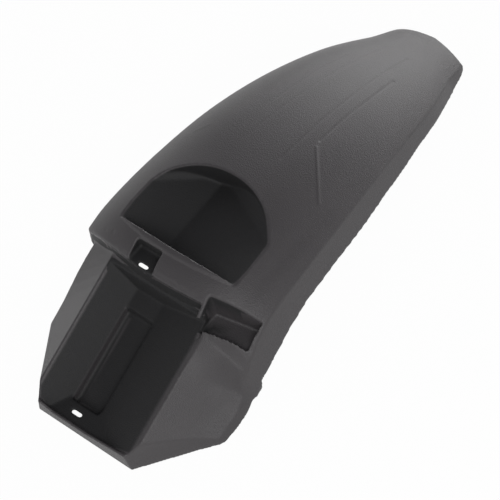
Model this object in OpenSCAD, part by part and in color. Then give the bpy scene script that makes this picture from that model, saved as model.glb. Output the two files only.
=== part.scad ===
// Rear hugger mudguard: one thin moulded shell that arches over the rear tyre.
// X runs across the guard with +X on its right, Y runs from the front edge to the tail, Z is up.
// The origin lies under the middle of the shell, on the surface that its rim rests on.
// Inside the modules Y is counted from the front edge, and the last module centres it.

/* [Overall] */
// Length from the front edge to the tip of the tail
overall_len = 484; // [476:1:500]
// Width between the two edge creases of the upper deck, at its widest
deck_w = 188; // [178:1:196]
// Height of the crown of the upper deck above the rim
crown_h = 109; // [104:1:116]
// Thickness of the moulded wall
wall = 2.6; // [2:0.1:3.4]

/* [Upper deck] */
// Distance from the front edge to the highest point of the crown
apex_y = 195; // [188:1:205]
// Radius of the crown line behind its highest point
crown_r = 463; // [440:1:500]
// Fall of the crown line from its highest point to the fascia
front_fall = 17; // [14:0.5:19]
// Fall of the deck from crown to crease, as a share of its half width
deck_fall = 0.345; // [0.3:0.005:0.38]
// Power of the deck's cross curve, where more is flatter in the middle
deck_power = 2.8; // [2.2:0.1:3.4]
// Outward run of the flank for each millimetre that it drops
flank_lean = 0.25; // [0.15:0.01:0.32]
// Distance from the front edge to the middle of the fascia
fascia_y = 123; // [120:1:127]
// Radius of the fascia seen from above
fascia_r = 343; // [300:1:420]
// Depth of the point of the tail, seen from above
tail_point = 10; // [6:0.5:14]

/* [Lower deck] */
// Width of the lower deck between the top edges of its channel
channel_w = 112; // [108:1:116]
// Height of the lower deck at the front edge
lower_h = 19.7; // [18:0.1:22]
// Rise of the lower deck for each millimetre towards the tail
lower_rise = 0.431; // [0.41:0.001:0.45]
// Width between the edge creases of the lower deck
lower_w = 196; // [190:1:200]
// How far each of those creases draws in below the fascia
lower_waist = 6.5; // [4:0.5:8]
// Width of the straight front edge
front_w = 107; // [100:1:112]
// Distance from the front edge to the side corners
corner_y = 74; // [68:1:80]
// Width over the side corners
corner_w = 208; // [204:1:212]
// Lean of the two cut front faces from upright
front_lean = 11; // [8:1:16]

/* [Channel] */
// Depth of the channel below the lower deck
channel_depth = 20; // [17:0.5:23]
// Depth of the narrow pocket below the channel
groove_depth = 7; // [5:0.5:9]
// Width of the narrow pocket
groove_w = 30; // [26:1:34]
// Distance from the front edge to the rear wall of the channel
channel_end = 121.5; // [119:0.5:122]

/* [Mounting line] */
// Sideways place of the two tie slots, left of the middle
mount_x = -18; // [-20:0.5:-14]
// Length of a tie slot, across the guard
slot_len = 11; // [9:0.5:13]
// Width of a tie slot
slot_w = 3.4; // [3:0.1:4.5]
// Width of the notch around the rear slot
notch_w = 28; // [24:1:32]
// Height of the floor of the rear notch
notch_z = 90; // [88:0.5:92]
// Width of the seat around the front slot
seat_w = 34; // [30:1:38]
// Height of the seat around the front slot
seat_z = 9.5; // [8:0.5:11]

/* [Rear recess] */
// Width of the recess
recess_w = 129; // [122:1:134]
// Distance from the front edge to the front of the recess, at its sides
recess_y = 152; // [149:1:155]
// Forward bow of its front edge
recess_bow = 4; // [2:0.5:6]
// Distance from its front to the start of its rear arc
recess_side = 44; // [40:1:48]
// Height of the rear arc
recess_arc = 36; // [32:1:40]
// Lean of its rear walls from upright
recess_lean = 50; // [40:1:55]
// Height of its floor at the two sides
recess_edge_z = 95.5; // [93:0.5:97]
// Height of the valley in its floor, at the front
recess_valley_z = 79; // [77:0.5:82]
// Rise of the valley for each millimetre towards the tail
recess_valley_rise = 0.047; // [0.02:0.005:0.08]
// Width of the lens-shaped lip in front of it
lip_w = 6; // [4:0.5:8]
// Height of that lip above the deck
lip_h = 1.4; // [1:0.1:2]

/* [Side pocket] */
// Height of the pocket floor at its inner end
pocket_z = 65; // [63:0.5:67]
// Fall of the floor over its length
pocket_fall = 8; // [6:0.5:10]
// Distance of its inner end from the middle
pocket_x = 51; // [49:0.5:53]
// Length of the pocket across the guard
pocket_len = 42; // [39:0.5:43]

/* [Hidden] */
$fn = 96;
// How far the plan row runs past the tail
row_over = 16;
// Side view of the lower rim: distance from the front edge and height
RIM = [[-20, 0], [75, 0], [99.5, 9.5], [117, 19.5], [119, 27.5], [137, 36], [163, 46], [194, 52], [226, 52],
    [258, 49.5], [313, 43.5], [375, 31], [420, 15.5], [447, 4], [466, 0], [520, 0]];
// Plan of the upper deck: distance from the front edge and share of the widest half width
DECK_PLAN = [[100, 1.04], [150, 1.015], [205, 0.985], [270, 0.92], [340, 0.81], [405, 0.65], [442, 0.505],
    [474, 0.35], [500, 0.22]];
// Fall of the lower deck from its channel to its crease: distance from the front edge and height
LOWER_FALL = [[-10, 43], [75, 42], [100, 39], [122, 27], [160, 22]];
// Parts of the lower deck and of the ramp that joins the two decks on the right
LOWER_PLACES = [-5, 75, 88, 100, 110, 120, 132, 150];
RAMP_PLACES = [100, 103, 105, 107, 109, 111.5];
ramp_x = 48;
ramp_steps = 5;
ramp_start = 102;
ramp_end = 110;
ramp_sink = 0.4;
waist_start = 98;
waist_len = 34;
hood_step = 13;
hood_start = 106;
profile_steps = 10;
// Above 1 it sets the points of a deck section closer together near the crease
profile_power = 1.25;
// Flat strip of the lower deck on each side of its channel
channel_verge = 1;
// Power of the crown's fall in front of its highest point
front_power = 3.5;
below = 40;
slack = 1;
// Groove, seat and mouth of the channel, counted from the front edge and from the rim
groove_end = 105;
seat_y = 12.5;
seat_len = 19;
mouth_z = 12.5;
// Side pocket: its front and rear at the inner end, and how far it slants for each millimetre outwards
pocket_front = 111;
pocket_rear = 134;
pocket_skew = 0.27;
lip_inset = 3;
notch_slot_y = 4;
slot_steps = 12;

function mix(a, b, t) = a + (b - a) * t;

// Smooth curve through a row of [place, value] points
function slope_at(row, i) = i == 0 || i == len(row) - 1 ? 0
    : (row[i + 1][1] - row[i - 1][1]) / (row[i + 1][0] - row[i - 1][0]);
function hermite(a, b, da, db, t) = (2 * pow(t, 3) - 3 * pow(t, 2) + 1) * a + (3 * pow(t, 2) - 2 * pow(t, 3)) * b
    + (pow(t, 3) - 2 * pow(t, 2) + t) * da + (pow(t, 3) - pow(t, 2)) * db;
function smooth_row(row, y, i = 0) = i < len(row) - 2 && y > row[i + 1][0] ? smooth_row(row, y, i + 1)
    : let (gap = row[i + 1][0] - row[i][0])
        hermite(row[i][1], row[i + 1][1], slope_at(row, i) * gap, slope_at(row, i + 1) * gap,
            (y - row[i][0]) / gap);

// Length that the rows are written for
row_len = DECK_PLAN[len(DECK_PLAN) - 1][0] - row_over;
// Behind the crown's highest point the rows follow the length: place to station, and station to place
function station(y) = y > apex_y ? mix(apex_y, row_len, (y - apex_y) / (overall_len - apex_y)) : y;
function place_of(s) = s > apex_y ? mix(apex_y, overall_len, (s - apex_y) / (row_len - apex_y)) : s;

// Upper deck: crown line, half width to the crease, and height across it
function crown_z(y) = y > apex_y ? crown_h - crown_r + sqrt(pow(crown_r, 2) - pow(station(y) - apex_y, 2))
    : crown_h - front_fall * pow((apex_y - y) / (apex_y - fascia_y), front_power);
function crown_slope(y) = (crown_z(y + 1) - crown_z(y - 1)) / 2;
function deck_half(y) = smooth_row(DECK_PLAN, station(y)) * deck_w / 2;
function deck_z(x, y) = crown_z(y) - deck_fall * deck_half(y) * pow(min(1, abs(x) / deck_half(y)), deck_power);

// Lower deck: height of its middle, half width to the crease, and height across it
function lower_z(y) = lower_h + lower_rise * y;
lower_break = channel_w / 2 + channel_verge;
function smooth_step(t) = let (s = max(0, min(1, t))) s * s * (3 - 2 * s);
function lower_half(y) = lower_w / 2 - lower_waist * smooth_step((y - waist_start) / waist_len);
function lower_side_z(x, y) = lower_z(y)
    - smooth_row(LOWER_FALL, y) * max(0, abs(x) - lower_break) / (lower_half(y) - lower_break);

// Points of a closed section moved inward by t
function unit(v) = v / norm(v);
function inward(a, b) = let (d = unit(b - a)) [d[1], -d[0]];
function inset(points, t) = [for (i = [0 : len(points) - 1])
    let (p = points[(i + len(points) - 1) % len(points)], q = points[i], r = points[(i + 1) % len(points)],
        n = inward(p, q), m = inward(q, r))
        q + unit(n + m) * t / sqrt((1 + n * m) / 2)];

// Section of the upper deck, from the foot of the left flank over the crown to the foot of the right one
function deck_section(y, deep) = let (half = deck_half(y), run = flank_lean * (deck_z(half, y) + deep))
    concat([[-half - run, -deep]],
        [for (i = [-profile_steps : profile_steps])
            let (x = half * sign(i) * (1 - pow(1 - abs(i) / profile_steps, profile_power))) [x, deck_z(x, y)]],
        [[half + run, -deep]]);

// Section of the lower deck in the same order
function lower_section(y, deep) = let (half = lower_half(y), edge_z = lower_side_z(half, y),
        run = flank_lean * (edge_z + deep))
    [[-half - run, -deep], [-half, edge_z], [-lower_break, lower_z(y)], [lower_break, lower_z(y)],
        [half, edge_z], [half + run, -deep]];

// Section of the ramp between the decks, which sinks a little into each of them at its ends
function ramp_section(y, deep) = let (t = smooth_step((y - ramp_start) / (ramp_end - ramp_start)),
        half = mix(lower_half(y), deck_half(y), t) - ramp_sink,
        heights = [for (i = [0 : ramp_steps]) let (x = mix(ramp_x, half, i / ramp_steps))
            [x, mix(lower_side_z(x, y), deck_z(x, y), t) - ramp_sink]])
    concat([[ramp_x, -deep]], heights, [[half + flank_lean * (heights[ramp_steps][1] + deep), -deep]]);

// Solid through a row of sections, each given as points and its distance from the front edge
module loft(sections, places) {
    n = len(sections[0]);
    last = len(sections) - 1;
    points = [for (k = [0 : last]) for (p = sections[k]) [p[0], places[k], p[1]]];
    sides = [for (k = [0 : last - 1]) for (i = [0 : n - 1])
        let (j = (i + 1) % n) each [[k * n + i, (k + 1) * n + j, k * n + j],
            [k * n + i, (k + 1) * n + i, (k + 1) * n + j]]];
    polyhedron(points, concat(sides, [[for (i = [0 : n - 1]) i]], [[for (i = [n - 1 : -1 : 0]) last * n + i]]));
}

// The wall is measured square to the surface, so a section of sloping deck is inset by more
function section_inset(t, slope) = t * sqrt(1 + pow(slope, 2));

// Upper deck behind its curved fascia, which on the right reaches on to the ramp
module hood(t) {
    last = overall_len + 3 * slack + t;
    steps = ceil((last - hood_start) / hood_step);
    places = [for (k = [0 : steps]) mix(hood_start, last, k / steps)];
    intersection() {
        loft([for (y = places) inset(deck_section(y, below + 2 * t), section_inset(t, crown_slope(y)))], places);
        union() {
            translate([0, fascia_y + fascia_r, -2 * below]) cylinder(r = fascia_r - t, h = 4 * below + crown_h);
            translate([ramp_x + t, ramp_end + t, -2 * below]) cube([deck_w, deck_w, 4 * below + crown_h]);
        }
    }
}

module lower_body(t) {
    difference() {
        loft([for (y = LOWER_PLACES) inset(lower_section(y, below + 2 * t), section_inset(t, lower_rise))],
            LOWER_PLACES);
        front_cut(t);
    }
}

// Everything ahead of the front edge and of the two cut front faces, for a body inset by t
module front_cut(t) {
    reach = overall_len;
    edge_turn = atan2(corner_y, (corner_w - front_w) / 2);
    for (side = [-1, 1])
        scale([side, 1, 1]) translate([front_w / 2, 0, 0]) rotate([0, 0, edge_turn]) rotate([-front_lean, 0, 0])
            translate([-reach / 2, t - reach, -reach / 2]) cube([reach, reach, reach]);
    translate([-reach / 2, t - reach, -reach / 2]) cube([reach, reach, reach]);
}

module ramp(t) {
    loft([for (y = RAMP_PLACES) inset(ramp_section(y, below + 2 * t), section_inset(t, lower_rise))], RAMP_PLACES);
}

// Space of the rear recess, grown by t on every side
module rear_recess(t) {
    half = recess_w / 2;
    arc_r = (pow(half, 2) + pow(recess_arc, 2)) / (2 * recess_arc);
    bow_circle = (pow(half, 2) + pow(recess_bow, 2)) / (2 * recess_bow);
    top = crown_h + below;
    floor_rise = recess_edge_z - recess_valley_z - recess_valley_rise * recess_arc;
    intersection() {
        translate([-half - t, 0, 0]) cube([2 * (half + t), overall_len, top]);
        translate([0, recess_y + recess_side + recess_arc - arc_r, 0]) cylinder(r = arc_r + t, h = top);
        translate([0, recess_y - recess_bow + bow_circle, 0]) cylinder(r = bow_circle + t, h = top);
        translate([0, recess_y, -t]) rotate([90 + atan(recess_valley_rise), 0, 0])
            translate([0, 0, -overall_len / 2]) linear_extrude(height = overall_len)
                polygon([[mount_x, recess_valley_z], [half, recess_edge_z],
                    [2 * half, recess_edge_z + (recess_edge_z - recess_valley_z) * half / (half - mount_x)],
                    [2 * half, 3 * top], [-2 * half, 3 * top],
                    [-2 * half, recess_edge_z + (recess_edge_z - recess_valley_z) * half / (half + mount_x)],
                    [-half, recess_edge_z]]);
        intersection_for(side = [-1, 1])
            translate([mount_x, recess_y + recess_side + recess_arc, recess_edge_z - floor_rise])
                rotate([0, -side * atan(floor_rise / (half - side * mount_x)),
                        atan2(-recess_arc * side, half - side * mount_x)])
                    rotate([-recess_lean, 0, 0]) translate([-overall_len, t - overall_len, -top])
                        cube([2 * overall_len, overall_len, 3 * top]);
    }
}

// Lens-shaped lip that stands on the deck in front of the rear recess
module recess_lip() {
    half = recess_w / 2;
    bow = recess_bow + lip_w;
    bow_circle = (pow(half, 2) + pow(bow, 2)) / (2 * bow);
    places = [for (k = [0 : 4]) mix(recess_y - bow - 2 * slack, recess_y + 2 * slack, k / 4)];
    intersection() {
        loft([for (y = places) inset(deck_section(y, below / 2), -lip_h)], places);
        translate([0, recess_y - bow + bow_circle, 0]) cylinder(r = bow_circle, h = 2 * crown_h);
        translate([lip_inset - half, 0, below]) cube([2 * (half - lip_inset), recess_y + slack, 2 * crown_h]);
    }
}

// Section of the channel across the guard, measured down from the lower deck
module channel_shape(t, groove) {
    half = channel_w / 2;
    left = mount_x + 2 - groove_w / 2;
    deep = channel_depth + t;
    top = below / 2;
    if (groove) {
        translate([left - t, -deep - groove_depth]) square([groove_w + 2 * t, deep]);
    } else {
        polygon([[-half - t, 0], [left, -deep], [left + groove_w, -deep], [half + t, 0], [half + t, top],
            [-half - t, top]]);
    }
}

// Space of the channel, with its deeper groove and the open mouth at the front, grown by t
module channel(t) {
    pitch = atan(lower_rise);
    groove_front = seat_y + seat_len / 2 - slack;
    difference() {
        intersection() {
            translate([-channel_w, wall - t, -2 * below])
                cube([2 * channel_w, channel_end - wall + 2 * t, 4 * below]);
            translate([0, 0, lower_h]) rotate([90 + pitch, 0, 0]) translate([0, 0, -overall_len / 2])
                linear_extrude(height = overall_len / 2 + below) channel_shape(t, false);
        }
        translate([-channel_w, -slack, seat_z - t - 2 * below])
            cube([2 * channel_w, groove_front + below, 2 * below]);
    }
    intersection() {
        translate([-channel_w, groove_front - t, wall - t])
            cube([2 * channel_w, groove_end - groove_front + 2 * t, 4 * below]);
        translate([0, 0, lower_h]) rotate([90 + pitch, 0, 0]) translate([0, 0, -overall_len / 2])
            linear_extrude(height = overall_len / 2 + below) channel_shape(t, true);
    }
}

// The front lip is lower than the deck over the width of the channel
module front_mouth() {
    half = channel_w / 2;
    translate([0, -slack, 0]) rotate([90, 0, 180]) mirror([1, 0, 0]) linear_extrude(height = wall + 3 * slack)
        polygon([[mount_x - seat_w / 2, mouth_z], [mount_x + seat_w / 2 + 4, mouth_z],
            [half, lower_z(0) + slack], [half, 2 * below], [-half, 2 * below], [-half, lower_z(0) + slack]]);
}

// Notch in the fascia around the rear slot, grown by t
module rear_notch(t) {
    translate([mount_x - notch_w / 2 - slack - t, fascia_y - below, notch_z - t])
        cube([notch_w + 2 * t, recess_y - recess_bow - lip_w - fascia_y + below + t, below]);
}

// Pocket in the right corner between the two decks, grown by t
module side_pocket(t) {
    turn = atan(pocket_fall / pocket_len);
    slant = pocket_len * pocket_skew;
    intersection() {
        linear_extrude(height = 2 * crown_h)
            polygon([[pocket_x - t, pocket_front - t], [pocket_x + pocket_len + t, pocket_front + slant - t],
                [pocket_x + pocket_len + t, pocket_rear + slant + t], [pocket_x - t, pocket_rear + t]]);
        translate([pocket_x, 0, pocket_z - t]) rotate([0, turn, 0])
            translate([-below, 0, 0]) cube([4 * below, overall_len, crown_h]);
    }
}

// Slot with round ends, cut straight down
module tie_slot(y, z) {
    reach = (slot_len - slot_w) / 2;
    translate([mount_x, y, z - below / 2]) linear_extrude(height = below)
        polygon([for (side = [1, -1]) for (k = [-slot_steps : slot_steps]) let (turn = 90 * (k / slot_steps + 1 - side))
            [side * reach + slot_w / 2 * cos(turn), slot_w / 2 * sin(turn)]]);
}

// Everything below the lower rim, and ahead of the pointed tail end
module rim_trim() {
    reach = overall_len;
    translate([-reach / 2, 0, 0]) rotate([90, 0, 90]) linear_extrude(height = reach)
        polygon(concat([[RIM[0][0], -2 * reach]], [for (p = RIM) [place_of(p[0]), p[1]]],
            [[place_of(RIM[len(RIM) - 1][0]), -2 * reach]]));
    for (side = [-1, 1])
        scale([side, 1, 1]) translate([0, overall_len, 0]) rotate([0, 0, -atan(tail_point / 33)])
            translate([-reach / 2, 0, -reach]) cube([reach, reach, 2 * reach]);
}

// Solid bounded by the wall's own surface, where t is how far it lies inside the outer one
module body(t) {
    difference() {
        union() {
            hood(t);
            lower_body(t);
            ramp(t);
            if (t == 0) recess_lip();
        }
        rear_recess(t);
        channel(t);
        rear_notch(t);
        side_pocket(t);
    }
}

module mudguard() {
    color([0.13, 0.13, 0.14]) translate([0, -overall_len / 2, 0]) difference() {
        body(0);
        body(wall);
        rim_trim();
        front_mouth();
        tie_slot(fascia_y + notch_slot_y, notch_z);
        tie_slot(seat_y, seat_z);
    }
}

mudguard();
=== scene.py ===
# %% [markdown]
# # A rear hugger mudguard
# The real part is one shell of injection-moulded black plastic, about 2.6 mm thick, which sits close
# over the rear tyre of a motorcycle. It is one piece, so this lesson is about one good surface: how a
# hard, faceted CAD solid becomes a moulding with soft edges, and how black plastic gets its look from
# its grain and from what it reflects.

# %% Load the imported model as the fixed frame
import math

import bmesh
import bpy
import numpy as np
from mathutils import Matrix, Vector


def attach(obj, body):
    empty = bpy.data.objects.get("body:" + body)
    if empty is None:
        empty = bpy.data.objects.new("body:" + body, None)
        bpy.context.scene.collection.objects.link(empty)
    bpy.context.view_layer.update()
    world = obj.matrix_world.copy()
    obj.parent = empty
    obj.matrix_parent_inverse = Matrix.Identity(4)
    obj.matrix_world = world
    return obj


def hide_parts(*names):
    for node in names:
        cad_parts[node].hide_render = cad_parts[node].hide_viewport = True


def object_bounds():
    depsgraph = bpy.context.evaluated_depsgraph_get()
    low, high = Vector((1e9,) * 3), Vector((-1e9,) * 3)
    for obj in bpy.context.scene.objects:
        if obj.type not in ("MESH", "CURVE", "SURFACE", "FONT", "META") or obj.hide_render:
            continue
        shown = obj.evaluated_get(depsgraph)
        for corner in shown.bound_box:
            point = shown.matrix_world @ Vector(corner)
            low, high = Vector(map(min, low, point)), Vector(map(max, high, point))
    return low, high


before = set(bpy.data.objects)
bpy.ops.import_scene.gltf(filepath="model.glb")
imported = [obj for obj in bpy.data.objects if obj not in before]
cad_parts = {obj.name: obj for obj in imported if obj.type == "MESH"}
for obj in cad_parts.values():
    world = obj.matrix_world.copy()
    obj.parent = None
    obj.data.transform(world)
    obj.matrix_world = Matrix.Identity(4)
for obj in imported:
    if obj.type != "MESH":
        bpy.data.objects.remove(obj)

MM = 0.001
cad_box = [list(corner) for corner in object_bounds()]
cad_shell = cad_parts["mudguard"]
print("CAD box in metres:", cad_box)

# %% [markdown]
# ## The camera
# The photograph is taken from high on the right of the front edge, from far away with a long lens, so
# lines that are parallel on the guard stay nearly parallel in the picture. A camera needs three things:
# where it stands, what it looks at, and how far it is rolled about its own line of sight.

# %% Set up the camera
CAMERA_PLACE = Vector((1.3025, -0.9083, 2.2878))
CAMERA_AIM = Vector((0.0319, -0.0420, 0.060))
CAMERA_ROLL = math.radians(-19.14)
LENS_MM = 231.6
SENSOR_MM = 36
VIEW_END = 50


def add_camera():
    data = bpy.data.cameras.new("photo_camera")
    data.lens = LENS_MM
    data.sensor_width = SENSOR_MM
    data.clip_end = VIEW_END
    camera = bpy.data.objects.new("photo_camera", data)
    bpy.context.scene.collection.objects.link(camera)
    aim = (CAMERA_AIM - CAMERA_PLACE).to_track_quat("-Z", "Y").to_matrix().to_4x4()
    camera.matrix_world = Matrix.Translation(CAMERA_PLACE) @ aim @ Matrix.Rotation(CAMERA_ROLL, 4, "Z")
    bpy.context.scene.camera = camera


add_camera()
print("camera stands", round((CAMERA_AIM - CAMERA_PLACE).length, 2), "m from its aim")

# %% [markdown]
# ## From a hard solid to a moulding
# An injection mould has no razor edges: every edge of the plastic has a radius of a millimetre or two.
# Beveling the CAD mesh would fail, because its triangles are long and thin where the cuts meet. A voxel
# remesh lays one even net over the whole solid instead, and that net can be smoothed like clay.

# %% Copy the solid and lay an even net over it
NET_SIZE = 1.0 * MM
WELD_GAP = 0.001 * MM


def new_piece(name, mesh):
    piece = bpy.data.objects.new(name, mesh)
    bpy.context.scene.collection.objects.link(piece)
    return piece


def baked_mesh(piece):
    graph = bpy.context.evaluated_depsgraph_get()
    mesh = bpy.data.meshes.new_from_object(piece.evaluated_get(graph))
    piece.modifiers.clear()
    old = piece.data
    piece.data = mesh
    bpy.data.meshes.remove(old)


def evenly_netted_copy(source, name):
    piece = new_piece(name, source.data.copy())
    bm = bmesh.new()
    bm.from_mesh(piece.data)
    bmesh.ops.remove_doubles(bm, verts=bm.verts, dist=WELD_GAP)
    bm.to_mesh(piece.data)
    bm.free()
    net = piece.modifiers.new("even_net", "REMESH")
    net.mode = "VOXEL"
    net.voxel_size = NET_SIZE
    baked_mesh(piece)
    return piece


shell = evenly_netted_copy(cad_shell, "guard_shell")
print("netted shell:", len(shell.data.vertices), "points")

# %% [markdown]
# ## True curves again
# The solid's deck is made of flat strips, which would show as faint bands in a glossy surface. The deck
# follows a simple rule, a crown line along its length and a curve across it, so the points that lie on
# the deck or on a flank are moved the last tenths of a millimetre onto the true surface.

# %% The deck's own curves, in millimetres from the front edge
FRONT_EDGE = -242.0
LENGTH = 484.0
DECK_HALF = 94.0
CROWN_HEIGHT = 109.0
APEX = 195.0
CROWN_RADIUS = 463.0
FRONT_FALL = 17.0
FRONT_POWER = 3.5
FASCIA = 123.0
FASCIA_RADIUS = 343.0
DECK_FALL = 0.345
DECK_POWER = 2.8
FLANK_LEAN = 0.25
PLAN = [(100, 1.04), (150, 1.015), (205, 0.985), (270, 0.92), (340, 0.81), (405, 0.65), (442, 0.505),
        (474, 0.35), (500, 0.22)]


def smooth_row(row, y):
    places = np.array([p for p, _ in row], float)
    values = np.array([v for _, v in row], float)
    slopes = np.zeros(len(row))
    slopes[1:-1] = (values[2:] - values[:-2]) / (places[2:] - places[:-2])
    i = np.clip(np.searchsorted(places, y, side="left") - 1, 0, len(row) - 2)
    gap = places[i + 1] - places[i]
    t = (y - places[i]) / gap
    return ((2 * t**3 - 3 * t**2 + 1) * values[i] + (3 * t**2 - 2 * t**3) * values[i + 1]
            + ((t**3 - 2 * t**2 + t) * slopes[i] + (t**3 - t**2) * slopes[i + 1]) * gap)


def crown_line(y):
    behind = CROWN_HEIGHT - CROWN_RADIUS + np.sqrt(np.maximum(CROWN_RADIUS**2 - (y - APEX)**2, 0))
    share = np.maximum(APEX - y, 0) / (APEX - FASCIA)
    return np.where(y > APEX, behind, CROWN_HEIGHT - FRONT_FALL * share**FRONT_POWER)


def deck_half(y):
    return DECK_HALF * smooth_row(PLAN, y)


def deck_height(x, y):
    half = deck_half(y)
    return crown_line(y) - DECK_FALL * half * np.minimum(1, np.abs(x) / half)**DECK_POWER


def points_in_mm(mesh):
    co = np.empty(len(mesh.vertices) * 3)
    mesh.vertices.foreach_get("co", co)
    co = co.reshape(-1, 3) / MM
    return co[:, 0], co[:, 1] - FRONT_EDGE, co[:, 2]


def set_points_in_mm(mesh, x, y, z):
    co = np.stack([x, y + FRONT_EDGE, z], axis=1) * MM
    mesh.vertices.foreach_set("co", co.ravel())
    mesh.update()


print("crown line at its highest point:", float(crown_line(np.array([APEX]))[0]), "mm")

# %% Move the deck and the flanks onto them
CATCH = 0.55
DECK_START = FASCIA - 14
FLANK_START = FASCIA - 12


def settle_on_true_surface(mesh):
    x, y, z = points_in_mm(mesh)
    half = deck_half(y)
    edge = deck_height(half, y)
    true_z = deck_height(x, y)
    on_deck = (np.abs(z - true_z) < CATCH) & (np.abs(x) < half) & (y > DECK_START)
    true_x = half + FLANK_LEAN * (edge - z)
    on_flank = (np.abs(np.abs(x) - true_x) < CATCH) & (z < edge) & (y > FLANK_START)
    z = np.where(on_deck, true_z, z)
    x = np.where(on_flank, np.sign(x) * true_x, x)
    set_points_in_mm(mesh, x, y, z)
    return int(on_deck.sum()), int(on_flank.sum())


print("points settled on the deck and the flanks:", settle_on_true_surface(shell.data))

# %% [markdown]
# ## Small corrections of form
# In front of the side pocket the lower deck rises to the upper one in one long easy slope, where the
# solid has a short ramp. Some places of the moulding are a few millimetres fuller than the solid: the
# tail is wider and squarer at its end, the deck is fuller on its left, and so is the right flank,
# which runs out further at its lower front corner. Points are moved by an amount that fades out
# smoothly all round, so no crease appears where the move ends.

# %% The lower deck's own curves, and a helper that fades a move in and out
LOWER_DECK = 19.7
LOWER_RISE = 0.431
LOWER_BREAK = 57.0
LOWER_HALF = 98.0
LOWER_WAIST = 6.5
WAIST_SPAN = (98, 132)
LOWER_FALL = [(-10, 43), (75, 42), (100, 39), (122, 27), (160, 22)]


def smooth_step(t):
    t = np.clip(t, 0, 1)
    return t * t * (3 - 2 * t)


def fade_in(value, span):
    start, end = span
    return smooth_step((value - start) / (end - start))


def fade_in_and_out(value, places):
    return fade_in(value, places[:2]) * (1 - fade_in(value, places[2:]))


def lower_half(y):
    return LOWER_HALF - LOWER_WAIST * fade_in(y, WAIST_SPAN)


def lower_height(x, y):
    fall = smooth_row(LOWER_FALL, y)
    share = np.maximum(0, np.abs(x) - LOWER_BREAK) / (lower_half(y) - LOWER_BREAK)
    return LOWER_DECK + LOWER_RISE * y - fall * share


front_middle = np.zeros(1)
print("the lower deck's height at the front edge:", float(lower_height(front_middle, front_middle)[0]), "mm")

# %% Ease the slope in front of the side pocket
SLOPE_STARTS = (74.0, 99.0)
SLOPE_END = 110.0
SLOPE_FALL = 0.6
SLOPE_ACROSS = (-0.03, 0.97)
SLOPE_BELOW = 1.0
FACING_UP = 0.15
FACING_SIDEWAYS = -0.4


def ease_slope(mesh):
    x, y, z = points_in_mm(mesh)
    normals = np.empty(len(mesh.vertices) * 3, np.float32)
    mesh.vertex_normals.foreach_get("vector", normals)
    upward = normals[2::3]
    low = lower_height(x, y)
    across = (x - LOWER_BREAK) / (lower_half(y) - LOWER_BREAK)
    start = SLOPE_STARTS[0] + (SLOPE_STARTS[1] - SLOPE_STARTS[0]) * smooth_step(across)
    rise = fade_in(y, (start, SLOPE_END))
    high = deck_height(x, np.full(len(y), SLOPE_END)) - SLOPE_FALL * (SLOPE_END - y)
    slope = low + (high - low) * rise
    chosen = (across > SLOPE_ACROSS[0]) & (across < SLOPE_ACROSS[1])
    chosen &= (y > SLOPE_STARTS[0]) & (y < SLOPE_END) & (z > low - SLOPE_BELOW)
    chosen &= (upward > FACING_UP) | ((upward > FACING_SIDEWAYS) & (z > slope))
    set_points_in_mm(mesh, x, y, np.where(chosen, slope, z))
    return int(chosen.sum())


print("points moved on the slope in front of the side pocket:", ease_slope(shell.data))

# %% Let out the tail, the deck and the right flank
TAIL_SPAN = (446, 476)
TAIL_HALF = 36.0
TAIL_WIDER = 0.13
TAIL_SQUARER = 2.2
TAIL_ROUNDER = 0.2
TAIL_RAISED = 1.5
CORNER_SPAN = (53.5, 104.0)
CORNER_FADE = (74, 120)
CORNER_MOVE = 8.0
CORNER_TOP = 22.0
DECK_FULLER = 1.5
DECK_PLACES = (230, 290, 400, 460)
DECK_FADE = 50.0
FLANK_FULLER = 1.5
FLANK_PLACES = (78, 90, 240, 360)
FLANK_SPAN = (75, 85)
FLARE = 3.6
FLARE_PLACES = (52, 82, 92, 116)
FLARE_SPAN = (85, 97)
FLARE_TOP = 30.0


def moved_tail(x, y, z):
    near_tail = fade_in(y, TAIL_SPAN)
    outwards = np.minimum(1, np.abs(x) / TAIL_HALF)
    new_x = x * (1 + TAIL_WIDER * near_tail)
    new_y = y + TAIL_SQUARER * near_tail**3 * outwards * (1 - outwards * TAIL_ROUNDER)
    return new_x, new_y, z + TAIL_RAISED * near_tail * (1 - outwards**2)


def moved_corner(x, y, z):
    aside = np.clip((x - CORNER_SPAN[0]) / (CORNER_SPAN[1] - CORNER_SPAN[0]), 0, 1)
    return -CORNER_MOVE * aside * (1 - fade_in(y, CORNER_FADE)) * (1 - smooth_step(z / CORNER_TOP))


def moved_flank(x, y, z):
    fuller = FLANK_FULLER * fade_in_and_out(y, FLANK_PLACES) * fade_in(x, FLANK_SPAN)
    flare = FLARE * fade_in_and_out(y, FLARE_PLACES) * fade_in(x, FLARE_SPAN)
    return fuller + flare * (1 - smooth_step(z / FLARE_TOP))


def let_out(mesh):
    x, y, z = points_in_mm(mesh)
    new_x, new_y, new_z = moved_tail(x, y, z)
    new_x = np.clip(new_x + moved_flank(x, y, z), x.min(), x.max())
    new_y = np.clip(new_y + moved_corner(x, y, z), 0, LENGTH)
    new_z = new_z + DECK_FULLER * fade_in_and_out(y, DECK_PLACES) * smooth_step(-x / DECK_FADE)
    set_points_in_mm(mesh, new_x, new_y, new_z)
    return [round(float(np.abs(move).max()), 2) for move in (new_x - x, new_y - y, new_z - z)]


print("largest moves sideways, lengthways and up, in mm:", let_out(shell.data))

# %% [markdown]
# ## Soft edges
# Smoothing alone would shrink the part, so each round of it is followed by one in the other direction:
# that irons out small dents and keeps the form. Three plain rounds then give the small radii of the
# mould. The groove of the channel, the rim and the side pocket get more, because their edges are the
# softest on the real part.

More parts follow.
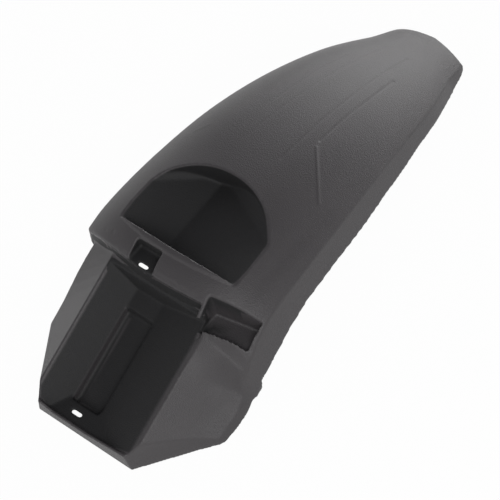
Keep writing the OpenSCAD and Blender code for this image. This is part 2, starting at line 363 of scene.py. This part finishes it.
# %% Smooth the edges
IRON_ROUNDS = 26
IRON_SHARES = (0.5, -0.52)
EDGE_ROUNDS = 3
GROOVE_ROUNDS = 7
GROOVE_MIDDLE = -17.0
GROOVE_HALF = 22.0
GROOVE_SPAN = (24, 112)
GROOVE_TOP = 60.0
RIM_ROUNDS = 14
RIM_DEPTH = 3.0
RIM_START = 25.0
RIM = [(75, 0), (99.5, 9.5), (117, 19.5), (119, 27.5), (137, 36), (163, 46), (194, 52), (226, 52),
       (258, 49.5), (313, 43.5), (375, 31), (420, 15.5), (447, 4), (466, 0)]
UPPER_DECK_START = 112.0
POCKET_ROUNDS = 9
POCKET_SPAN = (86, 117)
POCKET_INSIDE = LOWER_BREAK - 3
POCKET_BEYOND = 4.0
POCKET_BELOW = 5.0


def smooth_points(mesh, chosen, rounds):
    bm = bmesh.new()
    bm.from_mesh(mesh)
    bm.verts.ensure_lookup_table()
    verts = [bm.verts[i] for i in chosen]
    for _ in range(rounds):
        bmesh.ops.smooth_vert(bm, verts=verts, factor=0.5, use_axis_x=True, use_axis_y=True,
                              use_axis_z=True)
    bm.to_mesh(mesh)
    bm.free()


def iron_out(mesh, rounds):
    co = np.empty(len(mesh.vertices) * 3)
    mesh.vertices.foreach_get("co", co)
    co = co.reshape(-1, 3)
    edges = np.empty(len(mesh.edges) * 2, np.int32)
    mesh.edges.foreach_get("vertices", edges)
    one, other = edges[0::2], edges[1::2]
    count = len(co)
    neighbours = np.bincount(one, minlength=count) + np.bincount(other, minlength=count)
    for _ in range(rounds):
        for share in IRON_SHARES:
            for axis in range(3):
                total = (np.bincount(one, co[other, axis], count)
                         + np.bincount(other, co[one, axis], count))
                co[:, axis] += share * (total / neighbours - co[:, axis])
    mesh.vertices.foreach_set("co", co.ravel())
    mesh.update()


def rim_points(mesh):
    x, y, z = points_in_mm(mesh)
    upper = y > UPPER_DECK_START
    half = np.where(upper, deck_half(y), lower_half(y))
    edge = np.where(upper, deck_height(half, y), lower_height(half, y))
    outside = np.abs(x) > half + FLANK_LEAN * (edge - z) - RIM_DEPTH
    rim_height = np.interp(y, [place for place, _ in RIM], [height for _, height in RIM])
    return np.flatnonzero(outside & (z < rim_height + RIM_DEPTH) & (y > RIM_START))


def pocket_rim_points(mesh):
    x, y, z = points_in_mm(mesh)
    beside = (x > POCKET_INSIDE) & (x < lower_half(y) + POCKET_BEYOND)
    along = (y > POCKET_SPAN[0]) & (y < POCKET_SPAN[1])
    return np.flatnonzero(beside & along & (z > lower_height(x, y) - POCKET_BELOW))


def groove_points(mesh):
    x, y, z = points_in_mm(mesh)
    along = (y > GROOVE_SPAN[0]) & (y < GROOVE_SPAN[1])
    return np.flatnonzero(along & (np.abs(x - GROOVE_MIDDLE) < GROOVE_HALF) & (z < GROOVE_TOP))


def keep_in_box(mesh):
    """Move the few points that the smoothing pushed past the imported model's box back onto its sides."""
    low, high = np.array(cad_box) / MM - [0, FRONT_EDGE, 0]
    set_points_in_mm(mesh, *(np.clip(p, low[i], high[i]) for i, p in enumerate(points_in_mm(mesh))))


iron_out(shell.data, IRON_ROUNDS)
smooth_points(shell.data, range(len(shell.data.vertices)), EDGE_ROUNDS)
groove = groove_points(shell.data)
smooth_points(shell.data, groove, GROOVE_ROUNDS)
rim = rim_points(shell.data)
smooth_points(shell.data, rim, RIM_ROUNDS)
pocket_rim = pocket_rim_points(shell.data)
smooth_points(shell.data, pocket_rim, POCKET_ROUNDS)
keep_in_box(shell.data)
print("points softened along groove, rim and pocket rim:", len(groove), len(rim), len(pocket_rim))

# %% [markdown]
# ## Shallow styling lines
# Behind the recess the deck carries pairs of fine pressed lines that run towards the tail, and a low
# ridge that turns outwards from them. They are under a millimetre deep, so they are pressed into the
# finished surface by moving its points, as a sculptor would score clay.

# %% Press the styling lines
LINE_WIDTH = 1.15
LINE_REACH = 1.0
LEFT_SHARE = 0.4
STYLING_LINES = [
    (-0.36, [(20, 268), (18.8, 310), (17.7, 321), (16.4, 361), (13.8, 401), (11.9, 436)]),
    (-0.6, [(31.7, 304), (29.2, 346), (28.4, 372), (25.9, 403)]),
    (0.45, [(34, 297), (49, 280), (69, 256)]),
]


def distance_to_path(x, y, path):
    best = np.full(len(x), np.inf)
    for (x0, y0), (x1, y1) in zip(path[:-1], path[1:]):
        dx, dy = x1 - x0, y1 - y0
        t = np.clip(((x - x0) * dx + (y - y0) * dy) / (dx * dx + dy * dy), 0, 1)
        best = np.minimum(best, np.hypot(x - x0 - t * dx, y - y0 - t * dy))
    return best


def press_lines(mesh):
    x, y, z = points_in_mm(mesh)
    top = np.abs(z - deck_height(x, y)) < LINE_REACH
    lift = np.zeros(len(x))
    for depth, path in STYLING_LINES:
        away = distance_to_path(np.abs(x), y, path)
        lift += depth * np.exp(-(away / LINE_WIDTH)**2) * np.where(x < 0, LEFT_SHARE, 1)
    set_points_in_mm(mesh, x, y, z + np.where(top, lift, 0))
    return float(np.abs(lift[top]).max())


print("deepest styling line:", round(press_lines(shell.data), 2), "mm")

# %% [markdown]
# ## Grained skin, smooth recesses and painted shade
# The mould is etched with a fine grain on the surfaces that show, while the channel, the pockets and the
# underside are smoother. They get a darker base colour, partly for that and partly as painted shade for
# the light that reaches less far into them; the side pocket keeps the grained colour. A number on each
# point, its depth below the outer skin, lets one material make both finishes and the painted shade.

# %% Mark how deep each point lies below the outer skin
SKIN_FADE = (0.7, 2.4)
DIAGONAL = (0.826, 0.564)
FRONT_LEAN = 0.194
BESIDE_POCKET = (48, 107)
POCKET_LOW = (49, 107, 54)
POCKET_HIGH = (np.inf, 152, 80)
HOOD_EDGE = (104, FASCIA + 2)
HOOD_DEPTH = 9.0
# Two lines along the groove's edges get less of the dark recess colour: painted highlights where the rounded
# edges catch the light.
HIGHLIGHT_LINE_WIDTH = 0.9
HIGHLIGHT_LINE_SHARE = 0.8
PAINTED_HIGHLIGHT_EDGES = [((-31, 24), (-31, 104)), ((-25, 24), (-27, 100))]


def skin_depth(x, y, z):
    fascia = FASCIA + FASCIA_RADIUS - np.sqrt(FASCIA_RADIUS**2 - x**2)
    behind = (y > fascia) | ((x > BESIDE_POCKET[0]) & (y > BESIDE_POCKET[1]))
    half = np.where(behind, deck_half(y), lower_half(y))
    top = np.where(behind, deck_height(x, y), lower_height(x, y))
    edge = np.where(behind, deck_height(half, y), lower_height(half, y))
    below_top = top - z
    inside_flank = half + FLANK_LEAN * (edge - z) - np.abs(x)
    inside_diagonal = y * DIAGONAL[1] - (np.abs(x) - CORNER_SPAN[0]) * DIAGONAL[0] - FRONT_LEAN * z
    inside_front = y - FRONT_LEAN * z
    return np.minimum(np.minimum(below_top, inside_flank), np.minimum(inside_diagonal, inside_front))


# Weight of the painted highlight lines along the groove's edges.
def painted_highlight_share(x, y, z):
    share = np.zeros(len(x))
    for path in PAINTED_HIGHLIGHT_EDGES:
        away = distance_to_path(x, y, path)
        share = np.maximum(share, np.exp(-(away / HIGHLIGHT_LINE_WIDTH)**2))
    return np.where(z < GROOVE_TOP, share, 0)


def mark_recess_finish_and_shade(mesh):
    x, y, z = points = points_in_mm(mesh)
    # The deeper a point lies below the outer skin, the more of the dark recess colour it gets: painted shade
    # in the recesses, and the darker look of their smoother moulding.
    share = fade_in(skin_depth(x, y, z), SKIN_FADE)
    # Points inside the side pocket's box keep the grained colour, with no painted shade.
    inside = [(p > low) & (p < high) for p, low, high in zip(points, POCKET_LOW, POCKET_HIGH)]
    share = np.where(np.all(inside, axis=0), 0, share)
    # The groove's edges are made lighter: painted highlight.
    share = share * (1 - painted_highlight_share(x, y, z) * HIGHLIGHT_LINE_SHARE)
    # Points deep under the hood's front edge get the full dark recess colour: painted shade under the hood.
    under_hood = (np.abs(x) < LOWER_BREAK) & (y > HOOD_EDGE[0]) & (y < HOOD_EDGE[1])
    share = np.where(under_hood & (deck_height(x, y) - z > HOOD_DEPTH), 1, share)
    mark = mesh.attributes.new("recess_finish_and_shade", "FLOAT", "POINT")
    mark.data.foreach_set("value", share.astype(np.float32))
    return float(share.mean())


# %% [markdown]
# ## A lighter net
# The even net has far more triangles than the flat parts need. A decimate step merges them where the
# surface hardly bends, and leaves them dense along the edges.

# %% Thin the net and shade it smooth
MOST_TRIANGLES = 190000


def count_triangles(mesh):
    return sum(len(polygon.vertices) - 2 for polygon in mesh.polygons)


def thin_out(piece):
    thin = piece.modifiers.new("thin_out", "DECIMATE")
    thin.ratio = min(1.0, MOST_TRIANGLES / count_triangles(piece.data))
    baked_mesh(piece)
    piece.data.polygons.foreach_set("use_smooth", [True] * len(piece.data.polygons))


before = count_triangles(shell.data)
thin_out(shell)
print("triangles before and after:", before, count_triangles(shell.data))
# The share printed is that of the dark recess colour, which is painted shade as well as the smoother
# moulding.
print("share of the surface with the smooth finish:", round(mark_recess_finish_and_shade(shell.data), 2))

# %% [markdown]
# ## Black moulded plastic
# Black plastic is never one flat colour. The grain scatters light into a soft grey sheen, the mix of the
# plastic varies a little, and the recesses get a darker base colour, partly for their smoother moulding
# and partly as painted shade. The base stays near black, and the sheen comes from roughness and bump,
# besides two painted highlight lines along the groove's edges.

# %% Build the plastic material
GRAINED = (0.052, 0.048, 0.050, 1)
GRAINED_DARK = (0.042, 0.039, 0.041, 1)
# Near-black base colour of the recesses: partly their smoother moulding, partly painted shade.
RECESS_FINISH_AND_SHADE = (0.010, 0.010, 0.0105, 1)
PLASTIC_IOR = 1.46
CLOUD_SCALE = 26.0
SPECKLE_SCALE = 900.0
GRAIN_SCALE = 1100.0
ROUGHNESS = (0.40, 0.52)
DULLER_IN_RECESS = 0.22
GRAIN_BUMP = 0.55
SPECKLE_BUMP = 0.5
BUMP_HEIGHT = 0.3 * MM


def plastic_material():
    material = bpy.data.materials.new("grained_black_plastic")
    material.use_nodes = True
    nodes, links = material.node_tree.nodes, material.node_tree.links
    nodes.clear()

    def add(kind, **inputs):
        node = nodes.new(kind)
        for name, value in inputs.items():
            node.inputs[name.replace("_", " ")].default_value = value
        return node

    out = add("ShaderNodeOutputMaterial")
    skin = add("ShaderNodeBsdfPrincipled", IOR=PLASTIC_IOR)
    place = add("ShaderNodeTexCoord")
    finish_shade_mark = add("ShaderNodeAttribute")
    finish_shade_mark.attribute_name = "recess_finish_and_shade"

    cloud = add("ShaderNodeTexNoise", Scale=CLOUD_SCALE, Detail=5.0, Roughness=0.6)
    speckle = add("ShaderNodeTexNoise", Scale=SPECKLE_SCALE, Detail=3.0, Roughness=0.7)
    grain = add("ShaderNodeTexVoronoi", Scale=GRAIN_SCALE, Randomness=1.0)
    for texture in (cloud, speckle, grain):
        links.new(place.outputs["Object"], texture.inputs["Vector"])

    tone = add("ShaderNodeMix")
    tone.data_type = "RGBA"
    tone.inputs["A"].default_value = GRAINED_DARK
    tone.inputs["B"].default_value = GRAINED
    links.new(cloud.outputs["Fac"], tone.inputs["Factor"])

    # The recess mark mixes in the near-black colour: painted shade in the recesses.
    colour = add("ShaderNodeMix")
    colour.data_type = "RGBA"
    colour.inputs["B"].default_value = RECESS_FINISH_AND_SHADE
    links.new(finish_shade_mark.outputs["Fac"], colour.inputs["Factor"])
    links.new(tone.outputs["Result"], colour.inputs["A"])
    links.new(colour.outputs["Result"], skin.inputs["Base Color"])

    gloss = add("ShaderNodeMapRange", To_Min=ROUGHNESS[0], To_Max=ROUGHNESS[1])
    links.new(speckle.outputs["Fac"], gloss.inputs["Value"])
    dull = add("ShaderNodeMapRange", To_Min=0.0, To_Max=DULLER_IN_RECESS)
    links.new(finish_shade_mark.outputs["Fac"], dull.inputs["Value"])
    rough = nodes.new("ShaderNodeMath")
    rough.operation = "ADD"
    links.new(gloss.outputs["Result"], rough.inputs[0])
    links.new(dull.outputs["Result"], rough.inputs[1])
    links.new(rough.outputs["Value"], skin.inputs["Roughness"])

    bump = add("ShaderNodeBump", Strength=GRAIN_BUMP, Distance=BUMP_HEIGHT)
    links.new(grain.outputs["Distance"], bump.inputs["Height"])
    fine = add("ShaderNodeBump", Strength=SPECKLE_BUMP, Distance=BUMP_HEIGHT)
    links.new(speckle.outputs["Fac"], fine.inputs["Height"])
    links.new(bump.outputs["Normal"], fine.inputs["Normal"])
    links.new(fine.outputs["Normal"], skin.inputs["Normal"])
    links.new(skin.outputs["BSDF"], out.inputs["Surface"])
    return material


shell.data.materials.clear()
shell.data.materials.append(plastic_material())
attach(shell, "root")
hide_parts("mudguard")
print("the shell rides on the root body with", len(shell.data.materials), "material")

# %% [markdown]
# ## Floor
# The guard lies on its rim on a plain pale floor. The floor is white to the camera and in reflections,
# and still takes the soft shadow that ties the guard to the ground.

# %% Lay the floor
FLOOR_SIZE = 40.0
FLOOR_GLOW = 0.97
FLOOR_PAINT = (0.82, 0.82, 0.82, 1)


def floor_material():
    material = bpy.data.materials.new("pale_floor")
    material.use_nodes = True
    nodes, links = material.node_tree.nodes, material.node_tree.links
    nodes.clear()
    out = nodes.new("ShaderNodeOutputMaterial")
    paint = nodes.new("ShaderNodeBsdfDiffuse")
    paint.inputs["Color"].default_value = FLOOR_PAINT
    glow = nodes.new("ShaderNodeEmission")
    glow.inputs["Strength"].default_value = 1.0
    ray = nodes.new("ShaderNodeLightPath")
    seen = nodes.new("ShaderNodeMath")
    seen.operation = "ADD"
    links.new(ray.outputs["Is Camera Ray"], seen.inputs[0])
    links.new(ray.outputs["Is Glossy Ray"], seen.inputs[1])
    also = nodes.new("ShaderNodeMath")
    also.operation = "ADD"
    also.use_clamp = True
    links.new(seen.outputs["Value"], also.inputs[0])
    links.new(ray.outputs["Is Transmission Ray"], also.inputs[1])
    share = nodes.new("ShaderNodeMath")
    share.operation = "MULTIPLY"
    share.inputs[1].default_value = FLOOR_GLOW
    links.new(also.outputs["Value"], share.inputs[0])
    blend = nodes.new("ShaderNodeMixShader")
    links.new(share.outputs["Value"], blend.inputs["Fac"])
    links.new(paint.outputs["BSDF"], blend.inputs[1])
    links.new(glow.outputs["Emission"], blend.inputs[2])
    links.new(blend.outputs["Shader"], out.inputs["Surface"])
    return material


def add_floor():
    bm = bmesh.new()
    bmesh.ops.create_grid(bm, x_segments=1, y_segments=1, size=FLOOR_SIZE / 2)
    mesh = bpy.data.meshes.new("floor")
    bm.to_mesh(mesh)
    bm.free()
    floor = new_piece("floor", mesh)
    floor.data.materials.append(floor_material())
    return floor


floor = add_floor()
print("floor laid at the height of the rim:", floor.location.z)

# %% [markdown]
# ## Light
# A black part is lit by its surroundings. The sky of this scene is bright at the horizon and darker
# overhead, so the flanks pick up a pale sheen while the flat top stays dark. One wide soft lamp stands
# low behind the tail and gives it its sheen, and another stands high in front, on the right.

# %% Light the scene
SKY_STRENGTH = 1.0
HORIZON = (1.0, 1.0, 1.0, 1)
MIDDLE_SKY = (0.54, 0.53, 0.55, 1)
MIDDLE_SKY_PLACE = 0.45
ZENITH = (0.12, 0.12, 0.13, 1)
ZENITH_PLACE = 0.9


def add_sky():
    world = bpy.data.worlds.new("soft_sky")
    bpy.context.scene.world = world
    world.use_nodes = True
    nodes, links = world.node_tree.nodes, world.node_tree.links
    nodes.clear()
    out = nodes.new("ShaderNodeOutputWorld")
    sky = nodes.new("ShaderNodeBackground")
    sky.inputs["Strength"].default_value = SKY_STRENGTH
    place = nodes.new("ShaderNodeTexCoord")
    split = nodes.new("ShaderNodeSeparateXYZ")
    ramp = nodes.new("ShaderNodeValToRGB")
    stops = ramp.color_ramp.elements
    stops[0].position, stops[0].color = 0.0, HORIZON
    stops[1].position, stops[1].color = ZENITH_PLACE, ZENITH
    stops.new(MIDDLE_SKY_PLACE).color = MIDDLE_SKY
    links.new(place.outputs["Generated"], split.inputs["Vector"])
    links.new(split.outputs["Z"], ramp.inputs["Fac"])
    links.new(ramp.outputs["Color"], sky.inputs["Color"])
    links.new(sky.outputs["Background"], out.inputs["Surface"])


def add_lamp(name, place, aim, size, watts):
    data = bpy.data.lights.new(name, "AREA")
    data.shape = "RECTANGLE"
    data.size, data.size_y = size
    data.energy = watts
    lamp = bpy.data.objects.new(name, data)
    bpy.context.scene.collection.objects.link(lamp)
    turn = (Vector(aim) - Vector(place)).to_track_quat("-Z", "Y").to_matrix().to_4x4()
    lamp.matrix_world = Matrix.Translation(Vector(place)) @ turn


add_sky()
add_lamp("right_softbox", (1.4, -1.1, 1.7), (0, 0, 0), (1.8, 1.2), 30)
add_lamp("back_softbox", (-0.45, 2.4, 0.47), (0, 0.1, 0.05), (2.9, 0.8), 44)
print("sky and two soft lamps are set")

# %% [markdown]
# ## Finish
# The picture is shown through the Standard view transform.

# %% Standard view
bpy.context.scene.view_settings.view_transform = "Standard"
